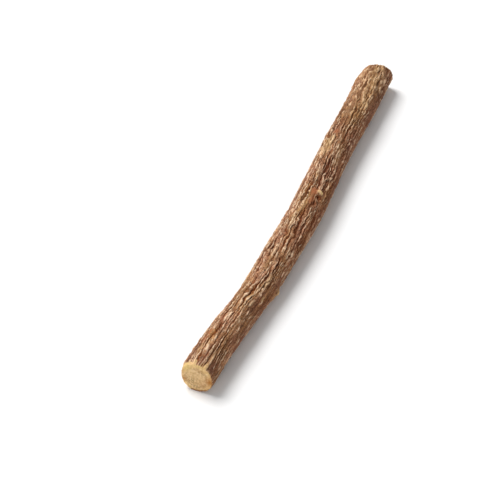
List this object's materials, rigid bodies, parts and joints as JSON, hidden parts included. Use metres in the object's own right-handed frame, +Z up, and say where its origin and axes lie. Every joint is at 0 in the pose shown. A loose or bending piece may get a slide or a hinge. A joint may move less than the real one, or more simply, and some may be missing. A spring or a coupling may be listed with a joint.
{
  "type": "licorice root stick",
  "caption": "Length of dried licorice root with wrinkled brown bark, gently bowed and sawn across at both ends, lying on its side; a spice and chewing stick.",
  "frame": {"origin": "bottom centre of the root's box, on the surface that it lies on", "axes": "+X along the root from its thinner sawn end to its thicker one, +Y towards the hollow side of its bow, +Z up from the surface"},
  "size_m": [0.1776, 0.0168, 0.0126],
  "materials": {
    "root_bark": "dry brown bark, wrinkled and furrowed lengthways, with pale straw-yellow fibrous wood on the two sawn ends"
  },
  "bodies": {
    "root": {"licorice_root": "root_bark"}
  },
  "joints": []
}
